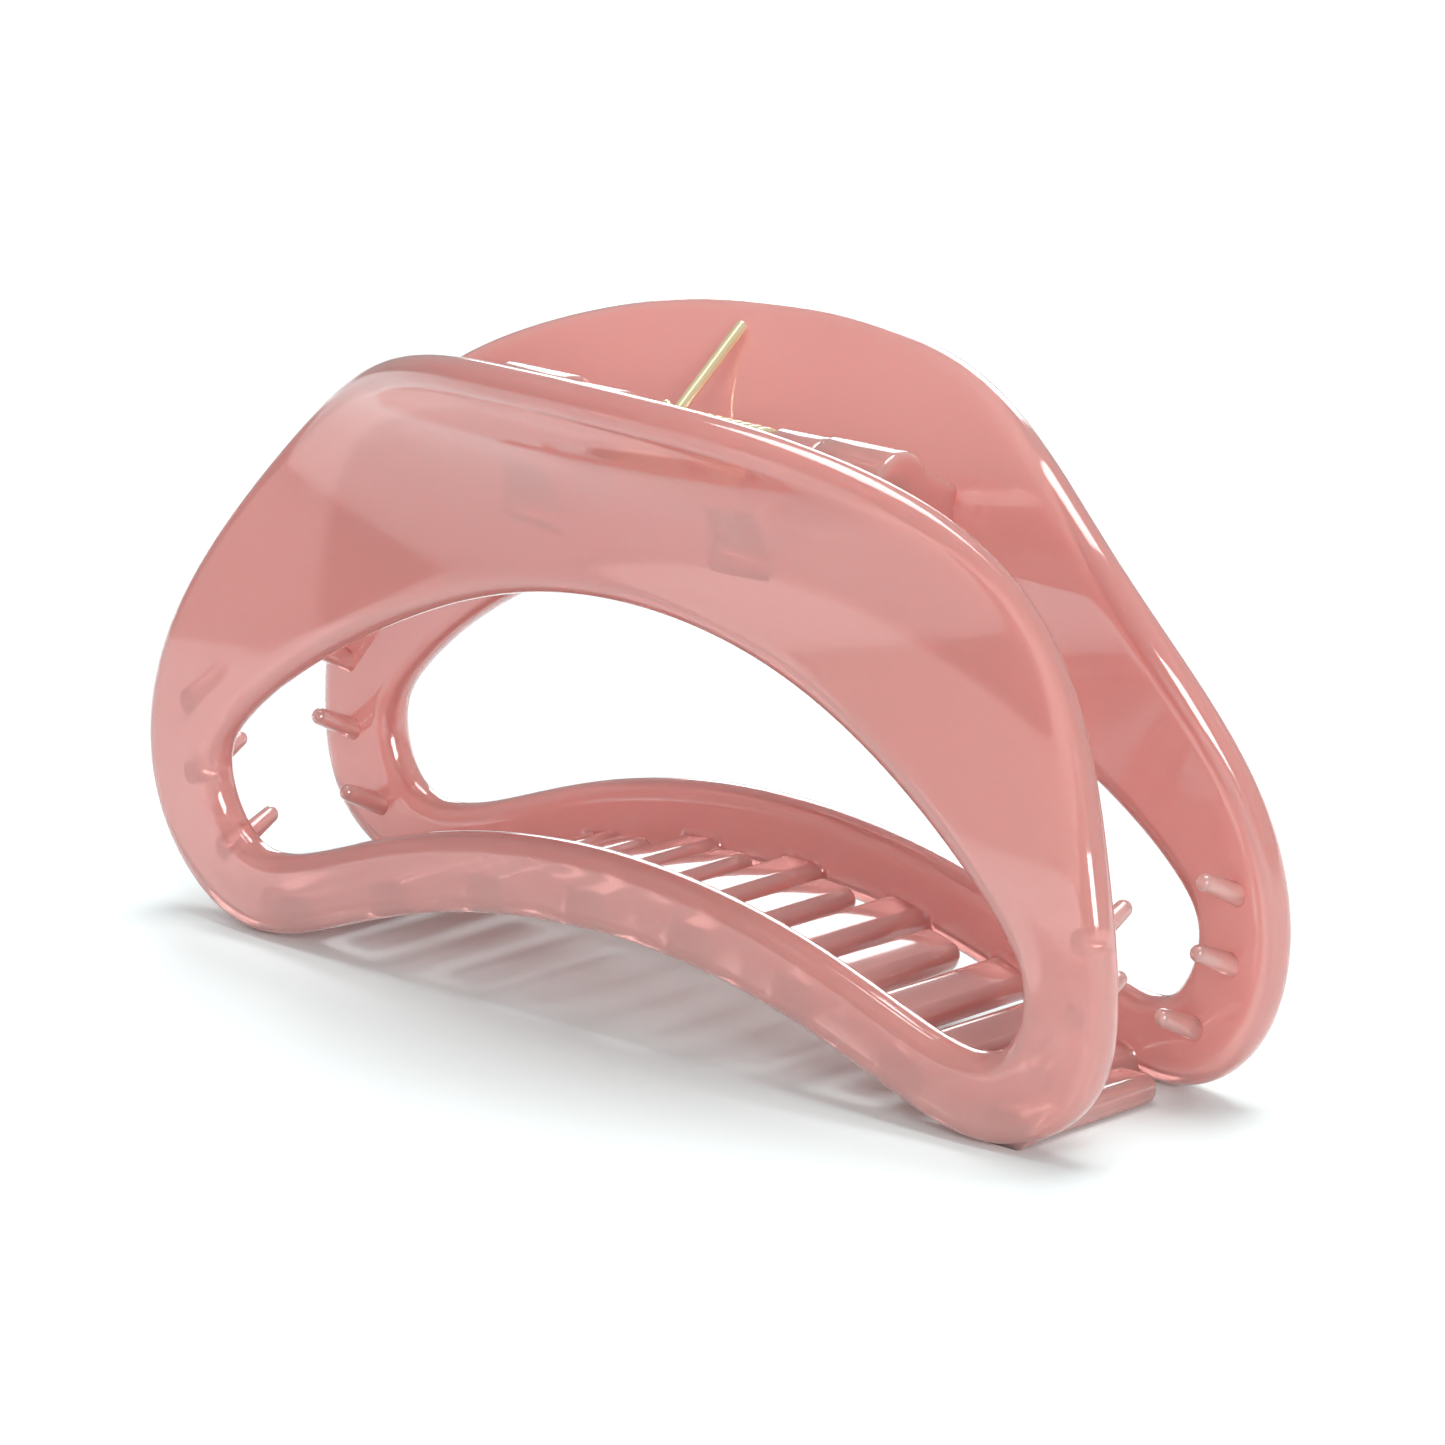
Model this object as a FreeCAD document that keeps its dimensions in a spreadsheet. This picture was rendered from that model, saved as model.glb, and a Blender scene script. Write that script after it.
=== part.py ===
import FreeCAD
import Part
import math
import os
from FreeCAD import Placement, Rotation, Vector

# A large hair claw clip, closed. Two mirrored jaws are moulded from translucent plastic: each is a
# curved plate with a crescent window, interlocking teeth along its bottom edge and short pegs up its
# end limbs. Knuckles on the jaws' inner faces share one hinge pin, and a wire torsion spring coiled
# round the pin pushes the two handles apart.
#
# Frame: X along the hinge, the front jaw at -Y and the rear jaw at +Y, +Z up. The origin is on the
# surface that the clip stands on, under the middle of the clip. Lengths are in millimetres.

doc = FreeCAD.newDocument("claw_clip")

# ---------------------------------------------------------------- driving dimensions

SIZES = [
    ("plate_thickness", 3.3, "jaw plate thickness"),
    ("jaw_reach", 17.4, "middle plane to the outermost point of a handle's rim"),
    ("bow_middle", 0.45, "inward bow of a jaw 50 mm from its middle, half-way up"),
    ("bow_foot", 2.3, "extra inward bow at the foot"),
    ("bow_high", 7.4, "extra inward bow at the top of the handle"),
    ("hinge_height", 46.15, "hinge axis above the ground"),
    ("pin_radius", 1.0, "hinge pin radius"),
    ("pin_clearance", 0.05, "radial clearance of the pin in the front knuckles"),
    ("pin_length", 41.9, "hinge pin length"),
    ("front_barrel_radius", 2.8, "barrel radius of the front jaw's knuckles"),
    ("front_knuckle_start", 8.4, "middle plane to the front jaw's knuckles"),
    ("front_knuckle_length", 5.35, "length of a front knuckle"),
    ("rear_barrel_radius", 3.1, "barrel radius of the rear jaw's knuckles"),
    ("rear_knuckle_start", 13.95, "middle plane to the rear jaw's knuckles"),
    ("rear_knuckle_length", 7.65, "length of a rear knuckle"),
    ("socket_wall", 1.2, "plastic left beyond the pin in the closed rear knuckle"),
    ("knuckle_round", 0.5, "rounding of a knuckle's end edges"),
    ("web_thickness", 5.0, "thickness of the web that carries a knuckle"),
    ("web_drop", 30, "slope of a web down to its plate, in degrees"),
    ("wire_radius", 0.5, "spring wire radius"),
    ("coil_radius", 2.0, "spring coil radius, to the middle of the wire"),
    ("coil_pitch", 1.05, "spring coil pitch"),
    ("coil_start", -6.6, "first turn of the spring coil, along the hinge"),
    ("coil_turns", 13, "whole turns of the spring coil"),
    ("leg_length", 13.3, "length of a spring leg"),
    ("leg_rise", 37.7, "slope of a spring leg, in degrees"),
    ("tooth_count", 8, "teeth on each jaw"),
    ("tooth_pitch", 11.04, "spacing of the teeth on one jaw"),
    ("tooth_width", 4.3, "tooth width"),
    ("tooth_height", 2.5, "tooth height"),
    ("tooth_overlap", 7.4, "reach of a tooth past the middle plane"),
    ("corner_tooth_overlap", 6.1, "reach of a corner tooth past the middle plane"),
    ("tooth_round", 1.1, "rounding of a tooth's long edges and tip"),
    ("peg_base_radius", 1.0, "peg radius at its root"),
    ("peg_tip_radius", 0.68, "peg radius at its tip"),
    ("peg_length", 5.8, "peg length from the middle of the plate to its tip's centre"),
    ("peg_rise", 25, "slope of a peg, in degrees"),
]

sheet = doc.addObject("Spreadsheet::Sheet", "Sizes")
for row, (alias, value, note) in enumerate(SIZES, start=1):
    sheet.set(f"A{row}", note)
    sheet.set(f"B{row}", str(value))
    sheet.setAlias(f"B{row}", alias)
doc.recompute()


def size(alias):
    return float(sheet.get(alias))


# Half of the middle line of a jaw's rims, seen from the front, from the top centre down to the
# bottom centre: the control points of a smooth closed curve, as x and z. The true edges lie half
# a plate thickness further out, or further in at the window.
OUTER_RIM = [
    (0, 52.6), (6.1, 52.3), (15.9, 51.8), (31.0, 47.3), (43.2, 36.3), (51.0, 21.4),
    (51.5, 6.2), (41.0, 0.1), (30.4, 4.3), (17.1, 8.7), (0, 10.6),
]
WINDOW_RIM = [
    (0, 37.2), (17.5, 34.5), (34.2, 26.2), (43.5, 18.7), (46.8, 13.6), (43.7, 5.6),
    (36.0, 4.7), (21.7, 11.2), (0, 14.6),
]

# Side profile of a jaw's middle surface at the clip's middle: height, and distance from the
# middle plane. The plate leans in to a waist under the hinge and flares out into the handle.
SIDE_PROFILE = [(0, 12.4), (10, 10.7), (22, 10.0), (34, 8.0), (44, 8.5), (54, 17.6)]
FOOT_BOW_START = 18.0
HANDLE_BOW_START = 20.0
HANDLE_BOW_SPAN = 30.0
BOW_REACH = 50.0

# Where the pegs of an end limb root in the plate: x and z.
PEG_ROOTS = [(48.8, 16.8), (48.3, 11.05), (44.9, 5.2)]


# ---------------------------------------------------------------- shape of the plate

def profile_depth(z):
    """Distance of the middle surface from the middle plane at x = 0: one smooth polynomial."""
    total = 0.0
    for i, (zi, depth) in enumerate(SIDE_PROFILE):
        term = depth
        for j, (zj, _) in enumerate(SIDE_PROFILE):
            if j != i:
                term *= (z - zj) / (zi - zj)
        total += term
    return total


def jaw_depth(x, z):
    """Distance of a jaw's middle surface from the middle plane, bowed in towards the ends."""
    drop = max(0.0, FOOT_BOW_START - z) / FOOT_BOW_START
    rise = max(0.0, z - HANDLE_BOW_START) / HANDLE_BOW_SPAN
    bow = size("bow_middle") + size("bow_foot") * drop ** 2 + size("bow_high") * rise ** 2
    return profile_depth(z) - bow * (x / BOW_REACH) ** 2


def profile_curve(x, offset):
    """The side profile at x, moved out by offset at right angles to itself."""
    points = []
    for k in range(16):
        z = -4.0 + 4.0 * k
        slope = (jaw_depth(x, z + 0.01) - jaw_depth(x, z - 0.01)) / 0.02
        stretch = math.sqrt(1 + slope ** 2)
        points.append(Vector(x, jaw_depth(x, z) + offset / stretch, z - offset * slope / stretch))
    curve = Part.BSplineCurve()
    curve.interpolate(points)
    return curve.toShape()


def rear_slab(near, far):
    """Slab on the +Y side. near and far are offsets from the middle surface, or near is None
    for a slab that starts at the middle plane."""
    sections = []
    for x in (-56, -42, -28, -14, 0, 14, 28, 42, 56):
        outer = profile_curve(x, far)
        bottom, top = (v.Point for v in outer.Vertexes)
        if near is None:
            foot = Vector(x, 0, bottom.z)
            head = Vector(x, 0, top.z)
            inner = Part.makeLine(foot, head)
        else:
            inner = profile_curve(x, near)
            foot, head = (v.Point for v in inner.Vertexes)
        edges = [outer, Part.makeLine(top, head), inner, Part.makeLine(foot, bottom)]
        sections.append(Part.Wire(Part.__sortEdges__(edges)))
    return Part.makeLoft(sections, True)


def rim_curve(half, growth):
    """Closed curve on the XZ plane, the same on both sides of x = 0, grown outwards by growth."""
    mirrored = [(-x, z) for x, z in reversed(half[1:-1])]
    poles = [Vector(x, 0, z) for x, z in half + mirrored]
    middle = Part.BSplineCurve()
    middle.buildFromPoles(poles, True, 3)
    count = 6 * len(half)
    span = middle.LastParameter - middle.FirstParameter
    points = []
    for k in range(count):
        place = middle.FirstParameter + span * k / count
        along = Vector(*middle.tangent(place)[0])
        points.append(middle.value(place) + Vector(-along.z, 0, along.x) * growth)
    edge = Part.BSplineCurve()
    edge.interpolate(Points=points, PeriodicFlag=True)
    return Part.Wire(edge.toShape())


def prism(half, growth):
    """The region inside a rim curve, grown by growth, from the middle plane to y = 30."""
    return Part.Face(rim_curve(half, growth)).extrude(Vector(0, 30, 0))


def plate_shape():
    """The jaw's plate on the +Y side, with its window."""
    half = size("plate_thickness") / 2
    plate = rear_slab(-half, half).common(prism(OUTER_RIM, half)).cut(prism(WINDOW_RIM, -half))
    return plate.common(Part.makeBox(120, size("jaw_reach"), 70, Vector(-60, 0, -10)))


def bottom_edge(x):
    """Height of the plate's bottom edge at x, and its slope there in degrees."""
    outline = Part.Face(rim_curve(OUTER_RIM, size("plate_thickness") / 2))
    step = 0.5
    heights = []
    for place in (x - step, x, x + step):
        line = Part.makeLine(Vector(place, 0, -5), Vector(place, 0, 60))
        heights.append(line.common(outline).BoundBox.ZMin)
    return heights[1], math.degrees(math.atan2(heights[2] - heights[0], 2 * step))


# ---------------------------------------------------------------- document objects

def bind(thing, **sizes):
    for name, expression in sizes.items():
        thing.setExpression(name, expression)
    return thing


def shaped(name, shape):
    """A free-form piece whose shape is worked out above from the sheet's values."""
    thing = doc.addObject("Part::Feature", name)
    thing.Shape = shape
    return thing


def rounded(name, base, alias, keep_edge=lambda edge: True):
    """Fillet of the base's edges that keep_edge picks, with the radius in the sheet's cell."""
    doc.recompute()
    thing = doc.addObject("Part::Fillet", name)
    thing.Base = base
    radius = size(alias)
    chosen = [i for i, edge in enumerate(base.Shape.Edges, start=1) if keep_edge(edge)]
    thing.Edges = [(i, radius, radius) for i in chosen]
    return thing


def about_x(angle):
    return Rotation(Vector(1, 0, 0), angle)


def along_x(x, y, z):
    """Placement that turns a piece's own Z axis to lie along X."""
    return Placement(Vector(x, y, z), Rotation(Vector(0, 1, 0), 90))


def make_tooth(name, index):
    """A round-edged bar from the plate's bottom edge across to the other jaw, flat underneath."""
    x = size("tooth_pitch") * (index - 3.75)
    corner = index == 0
    height, slope = (0.0, 0.0) if corner else bottom_edge(x)
    lift = 0.0 if corner else 0.15
    reach = "corner_tooth_overlap" if corner else "tooth_overlap"
    root = jaw_depth(x, height)
    bar = doc.addObject("Part::Box", name + "_bar")
    bind(bar, Length="Sizes.tooth_width", Height="Sizes.tooth_height",
         Width=f"Sizes.{reach} + {root:.3f}")
    corner_point = Placement(Vector(-size("tooth_width") / 2, -size(reach), lift), Rotation())
    turn = Placement(Vector(x, 0, height), Rotation(Vector(0, 1, 0), -slope))
    bar.Placement = turn * corner_point

    def free_edge(edge):
        centre = turn.inverse() * edge.CenterOfMass
        return centre.y < root - 0.1

    return rounded(name, bar, "tooth_round", free_edge)


def make_peg(name, x, z):
    """A tapered peg that leans up and inwards from an end limb."""
    rise = math.radians(size("peg_rise"))
    lean = Vector(0, -math.cos(rise), math.sin(rise))
    root = Vector(x, jaw_depth(x, z), z)
    shaft = doc.addObject("Part::Cone", name + "_shaft")
    bind(shaft, Radius1="Sizes.peg_base_radius", Radius2="Sizes.peg_tip_radius",
         Height="Sizes.peg_length")
    shaft.Placement = Placement(root, Rotation(Vector(0, 0, 1), lean))
    tip = doc.addObject("Part::Sphere", name + "_tip")
    bind(tip, Radius="Sizes.peg_tip_radius")
    tip.Placement = Placement(root + lean * size("peg_length"), Rotation())
    peg = doc.addObject("Part::Fuse", name)
    peg.Base = shaft
    peg.Tool = tip
    return peg


def make_knuckle(name, owner, side, core, bore):
    """A bored barrel on the hinge axis and the sloping web that joins it to the plate.

    The rear jaw's right knuckle is a closed socket, so the pin goes in from the left.
    """
    start = size(owner + "_knuckle_start")
    length = size(owner + "_knuckle_length")
    x = start if side > 0 else -start - length
    barrel = doc.addObject("Part::Cylinder", name + "_barrel")
    bind(barrel, Radius=f"Sizes.{owner}_barrel_radius", Height=f"Sizes.{owner}_knuckle_length")
    barrel.Placement = along_x(x, 0, size("hinge_height"))
    barrel = rounded(name + "_barrel_round", barrel, "knuckle_round",
                     lambda edge: abs(edge.BoundBox.XLength) < 0.01)
    block = doc.addObject("Part::Box", name + "_block")
    bind(block, Length=f"Sizes.{owner}_knuckle_length", Height="Sizes.web_thickness")
    block.Width = 16
    hinge = Placement(Vector(x, 0, size("hinge_height")), about_x(-size("web_drop")))
    block.Placement = hinge * Placement(Vector(0, 0, -size("web_thickness") / 2), Rotation())
    web = doc.addObject("Part::Common", name + "_web")
    web.Base = block
    web.Tool = core
    solid = doc.addObject("Part::Fuse", name + "_solid")
    solid.Base = barrel
    solid.Tool = web
    hole = doc.addObject("Part::Cylinder", name + "_bore")
    closed = owner == "rear" and side > 0
    margin = "1 - Sizes.socket_wall" if closed else "2"
    bind(hole, Radius=bore, Height=f"Sizes.{owner}_knuckle_length + {margin}")
    hole.Placement = along_x(x - 1, 0, size("hinge_height"))
    knuckle = doc.addObject("Part::Cut", name)
    knuckle.Base = solid
    knuckle.Tool = hole
    return knuckle


def make_jaw(label, owner, bore, turn):
    """One jaw, built on the +Y side and turned about Z to its own side of the clip."""
    core = shaped(owner + "_core", rear_slab(None, 0))
    pieces = [shaped(owner + "_plate", plate_shape())]
    for index in range(int(size("tooth_count"))):
        pieces.append(make_tooth(f"{owner}_tooth_{index + 1}", index))
    for side, mark in ((1, "right"), (-1, "left")):
        for index, (x, z) in enumerate(PEG_ROOTS, start=1):
            pieces.append(make_peg(f"{owner}_{mark}_peg_{index}", side * x, z))
        pieces.append(make_knuckle(f"{owner}_{mark}_knuckle", owner, side, core, bore))
    jaw = doc.addObject("Part::MultiFuse", label)
    jaw.Shapes = pieces
    jaw.Placement = Placement(Vector(0, 0, 0), Rotation(Vector(0, 0, 1), turn))
    return jaw


def make_pin():
    shank = doc.addObject("Part::Cylinder", "pin_shank")
    bind(shank, Radius="Sizes.pin_radius", Height="Sizes.pin_length")
    pin = doc.addObject("Part::Chamfer", "hinge_pin")
    pin.Base = shank
    doc.recompute()
    ends = [i for i, edge in enumerate(shank.Shape.Edges, start=1) if edge.Closed]
    pin.Edges = [(i, 0.2, 0.2) for i in ends]
    left_end = -size("rear_knuckle_start") - size("rear_knuckle_length")
    pin.Placement = along_x(left_end + 0.1, 0, size("hinge_height"))
    return pin


def make_spring():
    """A closed coil round the pin with two straight legs, each bearing on a handle.

    It is made with the coil's axis along Z, where local X is the clip's Y and local Y its Z.
    """
    rise = size("leg_rise")
    turns = size("coil_turns") + rise / 180
    coil_length = turns * size("coil_pitch")
    coil = doc.addObject("Part::Helix", "coil_path")
    bind(coil, Pitch="Sizes.coil_pitch", Radius="Sizes.coil_radius")
    coil.Height = coil_length
    coil.LocalCoord = "Left-handed"
    coil.Placement = Placement(Vector(0, 0, 0), Rotation(Vector(0, 0, 1), rise - 90))
    first = Vector(math.sin(math.radians(rise)), -math.cos(math.radians(rise)), 0)
    outward = Vector(-first.y, first.x, 0)
    wire = doc.addObject("Part::Circle", "wire_section")
    bind(wire, Radius="Sizes.wire_radius")
    climb = size("coil_pitch") / (2 * math.pi * size("coil_radius"))
    wire.Placement = Placement(first * size("coil_radius"),
                               Rotation(Vector(0, 0, 1), Vector(0, 0, climb) - outward))
    winding = doc.addObject("Part::Sweep", "coil")
    winding.Sections = [wire]
    winding.Spine = coil
    winding.Solid = True
    winding.Frenet = True
    pieces = [winding]
    for name, mirror, height in (("rear", 1, 0), ("front", -1, coil_length)):
        foot = Vector(first.x * mirror, first.y, 0) * size("coil_radius") + Vector(0, 0, height)
        direction = Vector(outward.x * mirror, outward.y, 0)
        leg = doc.addObject("Part::Cylinder", name + "_leg")
        bind(leg, Radius="Sizes.wire_radius", Height="Sizes.leg_length")
        leg.Placement = Placement(foot, Rotation(Vector(0, 0, 1), direction))
        bend = doc.addObject("Part::Sphere", name + "_bend")
        bind(bend, Radius="Sizes.wire_radius")
        bend.Placement = Placement(foot, Rotation())
        pieces += [leg, bend]
    spring = doc.addObject("Part::MultiFuse", "torsion_spring")
    spring.Shapes = pieces
    axes = Rotation(Vector(0, 1, 0), Vector(0, 0, 1), Vector(1, 0, 0), "ZXY")
    spring.Placement = Placement(Vector(size("coil_start"), 0, size("hinge_height")), axes)
    return spring


# ---------------------------------------------------------------- the four pieces

NODES = [
    make_jaw("rear_jaw", "rear", "Sizes.pin_radius", 0),
    make_jaw("front_jaw", "front", "Sizes.pin_radius + Sizes.pin_clearance", 180),
    make_pin(),
    make_spring(),
]
doc.recompute()

for thing in doc.Objects:
    if "Invalid" in thing.State or "Error" in thing.State:
        raise RuntimeError(f"{thing.Label} failed: {thing.State}")
for node in NODES:
    if node.Shape.isNull() or not node.Shape.isValid():
        raise RuntimeError(f"{node.Label} has no valid shape")
    if len(node.Shape.Solids) != 1:
        raise RuntimeError(f"{node.Label} is {len(node.Shape.Solids)} solids")

os.makedirs("parts", exist_ok=True)
for node in NODES:
    node.Shape.exportStep(f"parts/{node.Label}.step")
    box = node.Shape.BoundBox
    print(f"{node.Label}: {node.Shape.Volume:.1f} mm3, x {box.XMin:.2f}..{box.XMax:.2f}, "
          f"y {box.YMin:.2f}..{box.YMax:.2f}, z {box.ZMin:.2f}..{box.ZMax:.2f}")
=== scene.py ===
import math
import bmesh
import bpy
import numpy as np
from mathutils import Matrix, Vector


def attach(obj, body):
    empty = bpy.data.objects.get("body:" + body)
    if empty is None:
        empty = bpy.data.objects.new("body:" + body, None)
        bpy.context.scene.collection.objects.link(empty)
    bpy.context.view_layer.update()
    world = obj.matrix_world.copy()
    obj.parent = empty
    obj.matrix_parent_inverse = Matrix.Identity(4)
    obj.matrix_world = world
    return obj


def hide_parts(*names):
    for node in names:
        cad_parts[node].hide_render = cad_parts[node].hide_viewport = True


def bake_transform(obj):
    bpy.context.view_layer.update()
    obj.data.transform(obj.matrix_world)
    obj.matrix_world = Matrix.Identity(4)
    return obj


# A large hair claw clip of milky pink plastic: two jaw mouldings, the front one turned half a
# turn about Z from the rear one, the wire spring between their handles, and the frame's own
# hinge pin. The rear jaw is at +Y, the front at -Y.

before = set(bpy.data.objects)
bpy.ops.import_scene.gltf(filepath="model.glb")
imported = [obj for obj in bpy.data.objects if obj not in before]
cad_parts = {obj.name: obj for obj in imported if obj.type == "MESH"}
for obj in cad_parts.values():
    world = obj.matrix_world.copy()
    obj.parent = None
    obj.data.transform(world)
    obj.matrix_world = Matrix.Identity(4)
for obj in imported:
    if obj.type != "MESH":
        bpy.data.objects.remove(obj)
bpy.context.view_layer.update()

MM = 0.001

# ---------------------------------------------------------------- sizes, in millimetres

THICKNESS = 3.3
HALF = THICKNESS / 2
HINGE_Z = 46.15
PIN_RADIUS = 1.0
CLEARANCE = 0.05
SOCKET_END = 20.4
REAR_KNUCKLE = {"start": 13.95, "length": 7.65, "radius": 3.1}
FRONT_KNUCKLE = {"start": 8.4, "length": 5.35, "radius": 2.8}
KNUCKLE_ROUND = 0.5
WEB_THICKNESS = 5.0
WEB_DROP = math.radians(30)
TOOTH_COUNT = 8
TOOTH_PITCH = 11.04
TOOTH_WIDTH = 4.3
TOOTH_HEIGHT = 2.5
TOOTH_OVERLAP = 7.4
CORNER_TOOTH_OVERLAP = 6.1

# Half of the middle line of a jaw's rims, from the top centre down to the bottom centre: the
# control points of a smooth closed curve, as x and z.
OUTER_RIM = [
    (0, 52.6), (6.1, 52.3), (15.9, 51.8), (31.0, 47.3), (43.2, 36.3), (51.0, 21.4),
    (51.5, 6.2), (41.0, 0.1), (30.4, 4.3), (17.1, 8.7), (0, 10.6),
]
WINDOW_RIM = [
    (0, 37.2), (17.5, 34.5), (34.2, 26.2), (43.5, 18.7), (46.8, 13.6), (43.7, 5.6),
    (36.0, 4.7), (21.7, 11.2), (0, 14.6),
]
# Side profile of a jaw's middle surface at x = 0: height, and distance from the middle plane.
SIDE_PROFILE = [(0, 12.4), (10, 10.7), (22, 10.0), (34, 8.0), (44, 8.5), (54, 17.6)]
BOW_MIDDLE = 0.45
BOW_FOOT = 2.3
BOW_HIGH = 7.4
FOOT_BOW_START = 18.0
HANDLE_BOW_START = 20.0
HANDLE_BOW_SPAN = 30.0
BOW_REACH = 50.0
PEG_ROOTS = [(48.8, 16.8), (48.3, 11.05), (44.9, 5.2)]


# ---------------------------------------------------------------- shape of the plate

def profile_depth(z):
    """Distance of the middle surface from the middle plane at x = 0: one smooth polynomial."""
    total = 0.0
    for i, (zi, depth) in enumerate(SIDE_PROFILE):
        term = depth
        for j, (zj, _) in enumerate(SIDE_PROFILE):
            if j != i:
                term = term * (z - zj) / (zi - zj)
        total = total + term
    return total


def jaw_depth(x, z):
    """Distance of a jaw's middle surface from the middle plane, bowed in towards the ends."""
    drop = np.maximum(0.0, FOOT_BOW_START - z) / FOOT_BOW_START
    rise = np.maximum(0.0, z - HANDLE_BOW_START) / HANDLE_BOW_SPAN
    bow = BOW_MIDDLE + BOW_FOOT * drop ** 2 + BOW_HIGH * rise ** 2
    return profile_depth(z) - bow * (x / BOW_REACH) ** 2


def surface(x, z):
    """Points of the middle surface and its unit normals, which point outwards."""
    step = 0.01
    slope_x = (jaw_depth(x + step, z) - jaw_depth(x - step, z)) / (2 * step)
    slope_z = (jaw_depth(x, z + step) - jaw_depth(x, z - step)) / (2 * step)
    points = np.stack([x, jaw_depth(x, z), z], axis=-1)
    normals = np.stack([-slope_x, np.ones_like(slope_x), -slope_z], axis=-1)
    return points, normals / np.linalg.norm(normals, axis=-1, keepdims=True)


def closed_curve(half, count):
    """Evenly spaced points of the smooth closed curve with these control points, from its top."""
    mirrored = [(-x, z) for x, z in reversed(half[1:-1])]
    poles = np.array(half + mirrored, float)
    dense = []
    t = np.linspace(0, 1, 200, endpoint=False)[:, None]
    for i in range(len(poles)):
        a, b, c, d = (poles[(i + k) % len(poles)] for k in (-1, 0, 1, 2))
        dense.append(((1 - t) ** 3 * a + (3 * t ** 3 - 6 * t ** 2 + 4) * b
                      + (-3 * t ** 3 + 3 * t ** 2 + 3 * t + 1) * c + t ** 3 * d) / 6)
    dense = np.concatenate(dense)
    dense = np.vstack([dense, dense[:1]])
    run = np.concatenate([[0], np.cumsum(np.linalg.norm(np.diff(dense, axis=0), axis=1))])
    places = np.linspace(0, run[-1], count, endpoint=False)
    return np.stack([np.interp(places, run, dense[:, k]) for k in (0, 1)], axis=-1)


def bottom_edge(x):
    """Height of the plate's bottom edge at x and its slope there, in degrees."""
    outline = closed_curve(OUTER_RIM, 2000)
    low = outline[outline[:, 1] < 11]
    low = low[np.argsort(low[:, 0])]
    height = np.interp([x - 0.5, x, x + 0.5], low[:, 0], low[:, 1])
    slope = math.atan2(height[2] - height[0], 1.0)
    return height[1] - HALF / math.cos(slope), math.degrees(slope)


# ---------------------------------------------------------------- mesh helpers

def mesh_object(name, points, faces):
    """An object from points in millimetres, its faces all turned outwards."""
    mesh = bpy.data.meshes.new(name)
    mesh.from_pydata([tuple(p) for p in np.asarray(points) * MM], [], faces)
    mesh.update()
    work = bmesh.new()
    work.from_mesh(mesh)
    bmesh.ops.recalc_face_normals(work, faces=work.faces)
    work.to_mesh(mesh)
    work.free()
    thing = bpy.data.objects.new(name, mesh)
    bpy.context.scene.collection.objects.link(thing)
    return thing


def stack(rings, closed=False, caps=True):
    """Quads between rings of equal length, with end faces unless the stack closes on itself."""
    rings = [np.asarray(r) for r in rings]
    count = len(rings[0])
    faces = []
    last = len(rings) if closed else len(rings) - 1
    for i in range(last):
        a = i * count
        b = ((i + 1) % len(rings)) * count
        for j in range(count):
            k = (j + 1) % count
            faces.append((a + j, a + k, b + k, b + j))
    if caps and not closed:
        faces.append(tuple(range(count)))
        faces.append(tuple(reversed(range((len(rings) - 1) * count, len(rings) * count))))
    return np.concatenate(rings), faces


def turned(name, profile, place, sides=40):
    """A lathe-turned piece. profile is (distance along the axis, radius); place maps local Z."""
    angles = np.linspace(0, 2 * math.pi, sides, endpoint=False)
    circle = np.stack([np.cos(angles), np.sin(angles), np.zeros(sides)], axis=-1)
    rings = [circle * r + (0, 0, along) for along, r in profile]
    points, faces = stack(rings)
    points = np.array([place @ Vector(p) for p in points])
    return mesh_object(name, points, faces)


def round_rectangle(width, low, high, radius, corner=6):
    """Outline of a round-cornered rectangle, centred in its first coordinate."""
    points = []
    half = width / 2
    radius = min(radius, half, (high - low) / 2)
    for quarter, (cx, cy) in enumerate(((half - radius, high - radius),
                                        (radius - half, high - radius),
                                        (radius - half, low + radius),
                                        (half - radius, low + radius))):
        for k in range(corner + 1):
            angle = math.pi / 2 * (quarter + k / corner)
            points.append((cx + radius * math.cos(angle), cy + radius * math.sin(angle)))
    return points


def combine(base, tool, operation):
    """Change base by a boolean with tool, and remove tool."""
    modifier = base.modifiers.new("combine", "BOOLEAN")
    modifier.operation = operation
    modifier.solver = "MANIFOLD"
    modifier.object = tool
    graph = bpy.context.evaluated_depsgraph_get()
    mesh = bpy.data.meshes.new_from_object(base.evaluated_get(graph))
    base.modifiers.clear()
    base.data = mesh
    bpy.data.objects.remove(tool)


# ---------------------------------------------------------------- the jaws

STATIONS = 320
ACROSS = 20
ARC = 12


def plate():
    """The curved plate as one closed ring of quads: outer face, outer rim, inner face, window."""
    outer = closed_curve(OUTER_RIM, STATIONS)
    window = closed_curve(WINDOW_RIM, STATIONS)
    columns = []

    def offset_face(share, side):
        flat = window * (1 - share) + outer * share
        points, normals = surface(flat[:, 0], flat[:, 1])
        return points + normals * HALF * side

    def rim_arc(curve, side):
        points, normals = surface(curve[:, 0], curve[:, 1])
        along = np.roll(points, -1, axis=0) - np.roll(points, 1, axis=0)
        along /= np.linalg.norm(along, axis=1, keepdims=True)
        away = np.cross(along, normals)
        for k in range(1, ARC):
            angle = math.pi * k / ARC
            columns.append(points + HALF * side * (normals * math.cos(angle)
                                                   + away * math.sin(angle)))

    for k in range(ACROSS + 1):
        columns.append(offset_face(k / ACROSS, 1))
    rim_arc(outer, 1)
    for k in range(ACROSS + 1):
        columns.append(offset_face(1 - k / ACROSS, -1))
    rim_arc(window, -1)
    points, faces = stack(columns, closed=True)
    return mesh_object("plate", points, faces)


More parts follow.
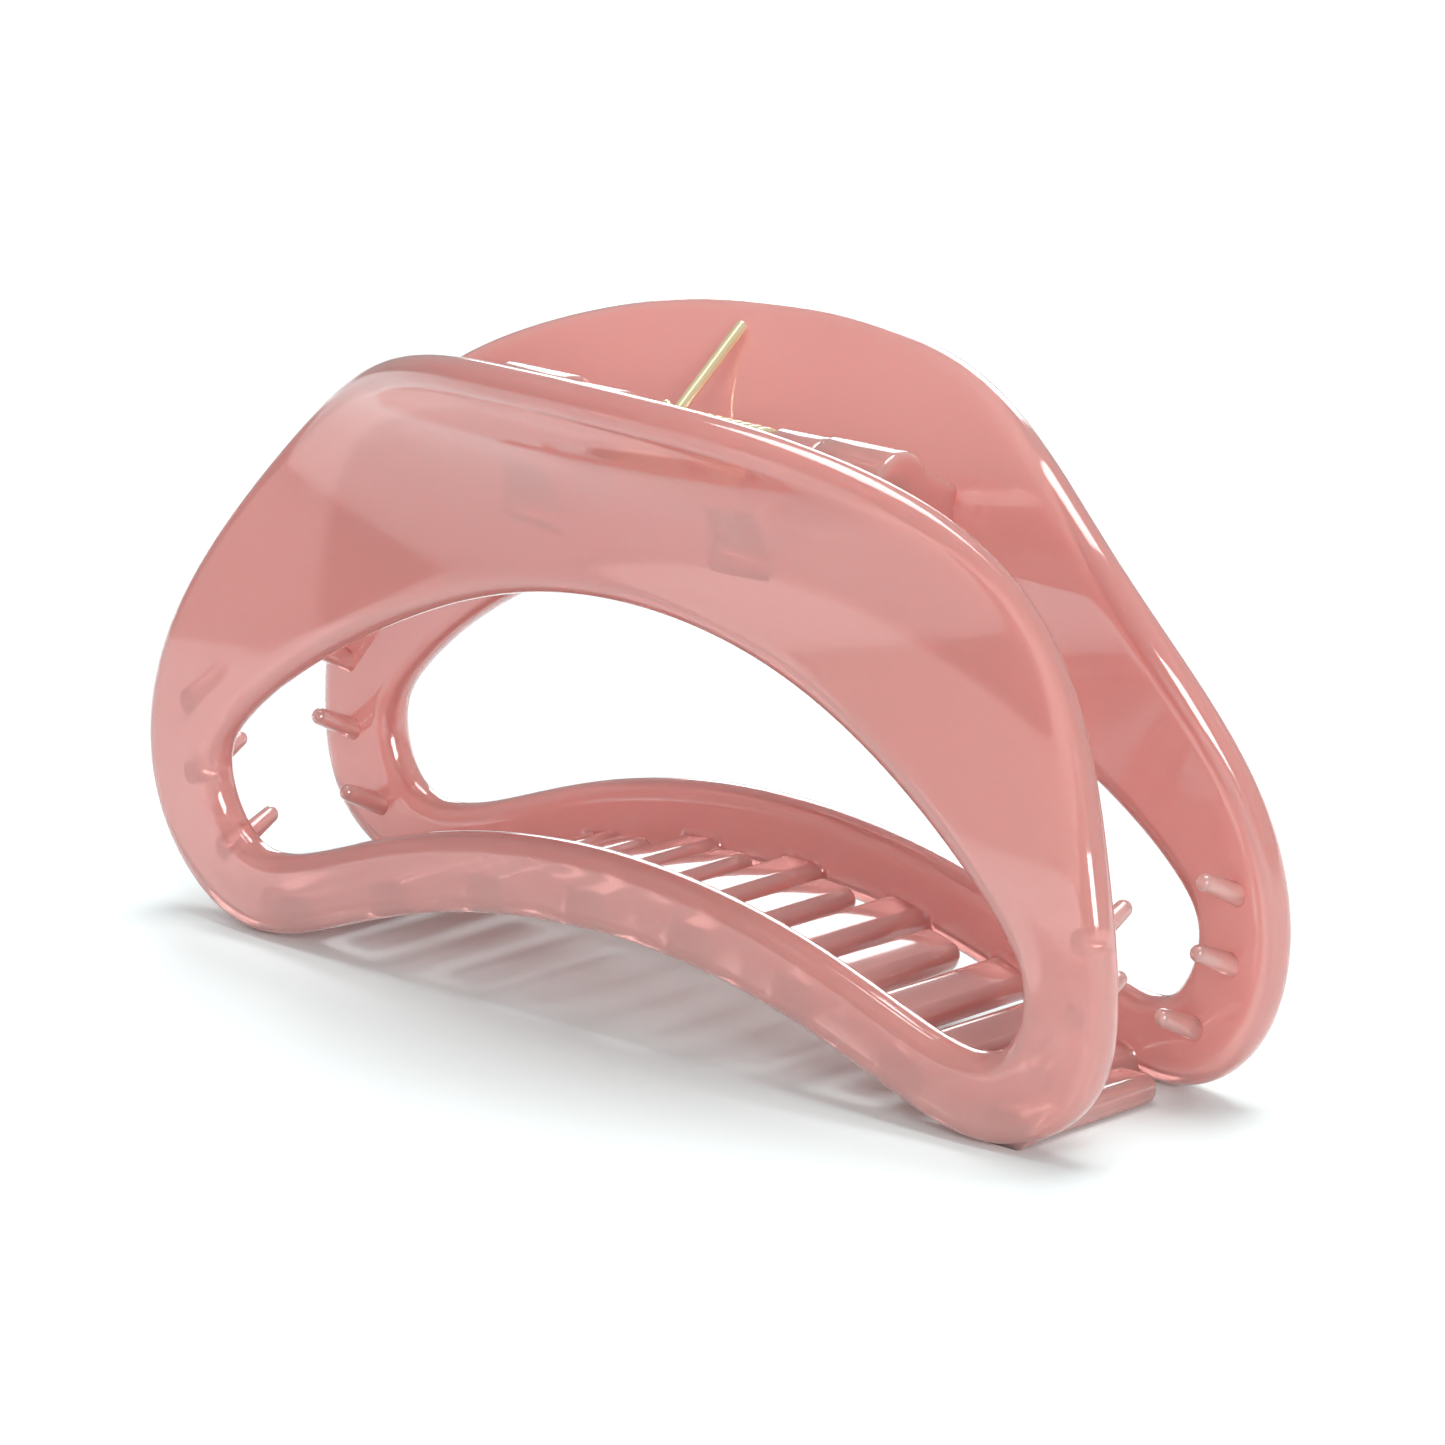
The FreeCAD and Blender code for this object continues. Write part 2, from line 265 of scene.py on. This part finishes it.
def tooth(index):
    """A bar from the plate's bottom edge, round at the tip and flared where it leaves the plate."""
    edge, nose, flare = 1.05, 1.15, 0.75
    x = TOOTH_PITCH * (index - 3.75)
    corner = index == 0
    base, slope = (0.0, 0.0) if corner else bottom_edge(x)
    lift = 0.0 if corner else 0.15
    reach = CORNER_TOOTH_OVERLAP if corner else TOOTH_OVERLAP
    root = float(jaw_depth(x, base + TOOTH_HEIGHT / 2))
    face = root - HALF
    rings = []
    for k in range(7):
        angle = math.pi / 2 * k / 6
        inset = nose * (1 - math.sin(angle))
        y = -reach + nose * (1 - math.cos(angle))
        rings.append((y, inset, inset))
    for k in range(1, 12):
        rings.append((-reach + nose + (face - flare + reach - nose) * k / 12, 0, 0))
    for k in range(7):
        angle = math.pi / 2 * k / 6
        rings.append((face - flare + flare * math.sin(angle), -flare * (1 - math.cos(angle)), 0))
    rings.append((root, -flare, 0))
    sections = []
    for y, inset, under in rings:
        outline = round_rectangle(TOOTH_WIDTH - 2 * inset, under, TOOTH_HEIGHT - inset,
                                  max(edge - inset * 0.5, 0.05))
        sections.append([(px, y, pz + lift) for px, pz in outline])
    points, faces = stack(sections)
    turn = Matrix.Rotation(math.radians(-slope), 4, "Y")
    points = np.array([turn @ Vector(p) for p in points]) + (x, 0, base)
    return mesh_object("tooth", points, faces)


def peg(x, z):
    """A tapered peg that leans up and inwards from an end limb, with a round tip."""
    base_radius, tip_radius, length, rise = 1.05, 0.72, 5.8, math.radians(25)
    lean = Vector((0, -math.cos(rise), math.sin(rise)))
    place = lean.to_track_quat("Z", "Y").to_matrix().to_4x4()
    place.translation = Vector((x, float(jaw_depth(x, z)), z))
    profile = [(length * k / 10, base_radius + (tip_radius - base_radius) * k / 10)
               for k in range(11)]
    for k in range(1, 9):
        angle = math.pi / 2 * k / 9
        profile.append((length + tip_radius * math.sin(angle), tip_radius * math.cos(angle)))
    return turned("peg", profile, place, 28)


def knuckle(start, length, radius, side):
    """A barrel on the hinge axis and the sloping web that joins it to the plate."""
    x = start if side > 0 else -start - length
    place = Matrix.Rotation(math.pi / 2, 4, "Y")
    place.translation = Vector((x, 0, HINGE_Z))
    near, far = [], []
    for k in range(6):
        angle = math.pi / 2 * k / 5
        short = KNUCKLE_ROUND * (1 - math.cos(angle))
        deep = KNUCKLE_ROUND * (1 - math.sin(angle))
        near.append((short, radius - deep))
        far.append((length - deep, radius - short))
    barrel = turned("barrel", near + far, place, 56)

    middle = x + length / 2
    reach, steps = 12.0, 24
    flare_start, flare_size = 1.4, 0.9
    sections = []
    for k in range(steps + 1):
        run = reach * k / steps
        foot = HINGE_Z - run * math.sin(WEB_DROP)
        plate_y = float(jaw_depth(middle, foot))
        gap = plate_y - HALF - run * math.cos(WEB_DROP)
        share = min(max(1 - max(gap, 0) / flare_start, 0), 1)
        flare = flare_size * (1 - math.sqrt(1 - share ** 2))
        outline = round_rectangle(length + flare, -WEB_THICKNESS / 2 - flare,
                                  WEB_THICKNESS / 2 + flare, KNUCKLE_ROUND)
        sections.append([(px, run, pz) for px, pz in outline])
        if run * math.cos(WEB_DROP) > plate_y:
            break
    points, faces = stack(sections)
    slope = Matrix.Rotation(-WEB_DROP, 4, "X")
    points = np.array([slope @ Vector(p) for p in points]) + (middle, 0, HINGE_Z)
    combine(barrel, mesh_object("web", points, faces), "UNION")
    return barrel


def bore(radius, end):
    """A tool for the pin's hole, from beyond the left knuckle to x = end."""
    start = -30
    place = Matrix.Rotation(math.pi / 2, 4, "Y")
    place.translation = Vector((start, 0, HINGE_Z))
    return turned("bore", [(0, radius), (end - start, radius)], place, 48)


def jaw(name, knuckle_size, clearance, bore_end, turn):
    """One jaw moulding, made on the +Y side and turned about Z to its own side."""
    parts = [tooth(index) for index in range(TOOTH_COUNT)]
    for side in (1, -1):
        parts += [peg(side * x, z) for x, z in PEG_ROOTS]
        parts.append(knuckle(**knuckle_size, side=side))
    body = plate()
    for part in parts:
        combine(body, part, "UNION")
    combine(body, bore(PIN_RADIUS + clearance, bore_end), "DIFFERENCE")
    body.name = name
    body.data.transform(Matrix.Rotation(turn, 4, "Z"))
    body.data.shade_smooth()
    body.data.set_sharp_from_angle(angle=math.radians(38))
    return body


# ---------------------------------------------------------------- the spring

def spring():
    """The coil and its two straight legs as one wire with a round section."""
    wire, radius, pitch, turns, bevel = 0.5, 2.0, 1.05, 13, 0.12
    start_x, leg, rise = -6.6, 13.3, math.radians(37.7)
    leg_steps, coil_steps, sides = 12, 14 * 36, 16
    total = 2 * math.pi * (turns + math.degrees(rise) / 180)
    climb = pitch * total / (2 * math.pi)
    route = []
    for k in range(coil_steps + 1):
        angle = rise - math.pi / 2 - total * k / coil_steps
        x = start_x + climb * k / coil_steps
        route.append((x, radius * math.cos(angle), HINGE_Z + radius * math.sin(angle)))
    rear = Vector((0, math.cos(rise), math.sin(rise)))
    front = Vector((0, -math.cos(rise), math.sin(rise)))
    head = [tuple(Vector(route[0]) + rear * leg * k / leg_steps) for k in range(leg_steps, 0, -1)]
    tail = [tuple(Vector(route[-1]) + front * leg * k / leg_steps) for k in range(1, leg_steps + 1)]
    route = np.array(head + route + tail)
    along = np.gradient(route, axis=0)
    along /= np.linalg.norm(along, axis=1, keepdims=True)
    side = np.cross(along, (1.0, 0.0, 0.0))
    side /= np.linalg.norm(side, axis=1, keepdims=True)
    up = np.cross(side, along)
    angles = np.linspace(0, 2 * math.pi, sides, endpoint=False)[:, None]
    rings = [point + wire * (np.cos(angles) * side[k] + np.sin(angles) * up[k])
             for k, point in enumerate(route)]
    first, last = rings[0], rings[-1]
    small = 1 - bevel / wire
    rings = ([route[0] + (first - route[0]) * small, first + along[0] * bevel] + rings[1:-1]
             + [last - along[-1] * bevel, route[-1] + (last - route[-1]) * small])
    points, faces = stack(rings)
    thing = mesh_object("spring_wire", points, faces)
    thing.data.shade_smooth()
    thing.data.set_sharp_from_angle(angle=math.radians(30))
    return thing


# ---------------------------------------------------------------- materials

def material(name):
    made = bpy.data.materials.new(name)
    made.use_nodes = True
    return made, made.node_tree.nodes["Principled BSDF"]


def vary_colour(made, scale, detail, dark, light, spread=(0, 1)):
    """Noise between two colours on the material's base colour."""
    nodes, links = made.node_tree.nodes, made.node_tree.links
    place = nodes.new("ShaderNodeTexCoord")
    noise = nodes.new("ShaderNodeTexNoise")
    noise.inputs["Scale"].default_value = scale
    noise.inputs["Detail"].default_value = detail
    ramp = nodes.new("ShaderNodeValToRGB")
    for stop, position, colour in zip(ramp.color_ramp.elements, spread, (dark, light)):
        stop.position = position
        stop.color = (*colour, 1)
    links.new(place.outputs["Object"], noise.inputs["Vector"])
    links.new(noise.outputs["Fac"], ramp.inputs["Fac"])
    links.new(ramp.outputs["Color"], nodes["Principled BSDF"].inputs["Base Color"])


def pink_plastic():
    """Glossy, milky, slightly see-through pink plastic with faint clouding."""
    made, shader = material("pink_plastic")
    vary_colour(made, 18, 3, (0.78, 0.35, 0.325), (0.82, 0.41, 0.37), (0.3, 0.7))
    shader.inputs["Roughness"].default_value = 0.12
    shader.inputs["IOR"].default_value = 1.49
    shader.inputs["Transmission Weight"].default_value = 0.48
    shader.inputs["Subsurface Weight"].default_value = 1.0
    shader.inputs["Subsurface Radius"].default_value = (1.0, 0.7, 0.7)
    shader.inputs["Subsurface Scale"].default_value = 0.006
    shader.inputs["Coat Weight"].default_value = 1.0
    shader.inputs["Coat Roughness"].default_value = 0.04
    return made


def gold_wire():
    """Shiny gold-coloured metal with a fine variation in its colour."""
    made, shader = material("gold_wire")
    vary_colour(made, 900, 2, (0.95, 0.80, 0.46), (0.98, 0.90, 0.64))
    shader.inputs["Metallic"].default_value = 0.7
    shader.inputs["Roughness"].default_value = 0.2
    return made


def pin_steel():
    """Steel with a fine variation in its grey."""
    made, shader = material("pin_steel")
    vary_colour(made, 700, 2, (0.50, 0.50, 0.50), (0.66, 0.66, 0.66))
    shader.inputs["Metallic"].default_value = 1.0
    shader.inputs["Roughness"].default_value = 0.25
    return made


def wear(thing, made):
    thing.data.materials.clear()
    thing.data.materials.append(made)


# ---------------------------------------------------------------- the object

plastic = pink_plastic()
rear = jaw("rear_jaw_moulding", REAR_KNUCKLE, 0, SOCKET_END, 0)
front = jaw("front_jaw_moulding", FRONT_KNUCKLE, CLEARANCE, 30, math.pi)
for thing, node, body in ((rear, "rear_jaw", "rear"), (front, "front_jaw", "front")):
    wear(thing, plastic)
    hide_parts(node)
    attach(thing, body)

wire = spring()
wear(wire, gold_wire())
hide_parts("torsion_spring")
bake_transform(wire)
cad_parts["hinge_pin"].material_slots[0].material = pin_steel()


# ---------------------------------------------------------------- floor, light and camera

def floor():
    """A pale floor, a little less red than white."""
    bpy.ops.mesh.primitive_plane_add(size=4.0)
    ground = bpy.context.object
    ground.name = "floor"
    made, shader = material("floor_white")
    shader.inputs["Base Color"].default_value = (0.84, 0.93, 0.93, 1)
    shader.inputs["Roughness"].default_value = 0.8
    wear(ground, made)


def area_light(name, place, aim, size, power):
    data = bpy.data.lights.new(name, "AREA")
    data.energy = power
    data.size = size
    lamp = bpy.data.objects.new(name, data)
    lamp.location = place
    lamp.rotation_euler = (Vector(aim) - Vector(place)).to_track_quat("-Z", "Y").to_euler()
    bpy.context.scene.collection.objects.link(lamp)


def camera():
    data = bpy.data.cameras.new("camera")
    data.sensor_width = 36
    data.lens = 245.4
    data.clip_start = 0.05
    eye = bpy.data.objects.new("camera", data)
    place = Vector((0.5194, -0.5421, 0.2362))
    aim = Vector((0.001638, 0.000739, 0.02356))
    eye.location = place
    eye.rotation_euler = (aim - place).to_track_quat("-Z", "Y").to_euler()
    bpy.context.scene.collection.objects.link(eye)
    bpy.context.scene.camera = eye


floor()
area_light("top_softbox", (0.1, 0.45, 3.3), (0, 0, 0), 1.9, 88)
area_light("front_softbox", (2.9, -1.7, 1.1), (0, 0, 0.02), 1.3, 74)
area_light("back_softbox", (-1.8, 2.4, 1.2), (0, 0, 0.02), 1.4, 26)
world = bpy.data.worlds.new("studio")
world.use_nodes = True
world.node_tree.nodes["Background"].inputs["Color"].default_value = (1, 1, 1, 1)
world.node_tree.nodes["Background"].inputs["Strength"].default_value = 0.36
bpy.context.scene.world = world
bpy.context.scene.view_settings.view_transform = "Standard"
camera()
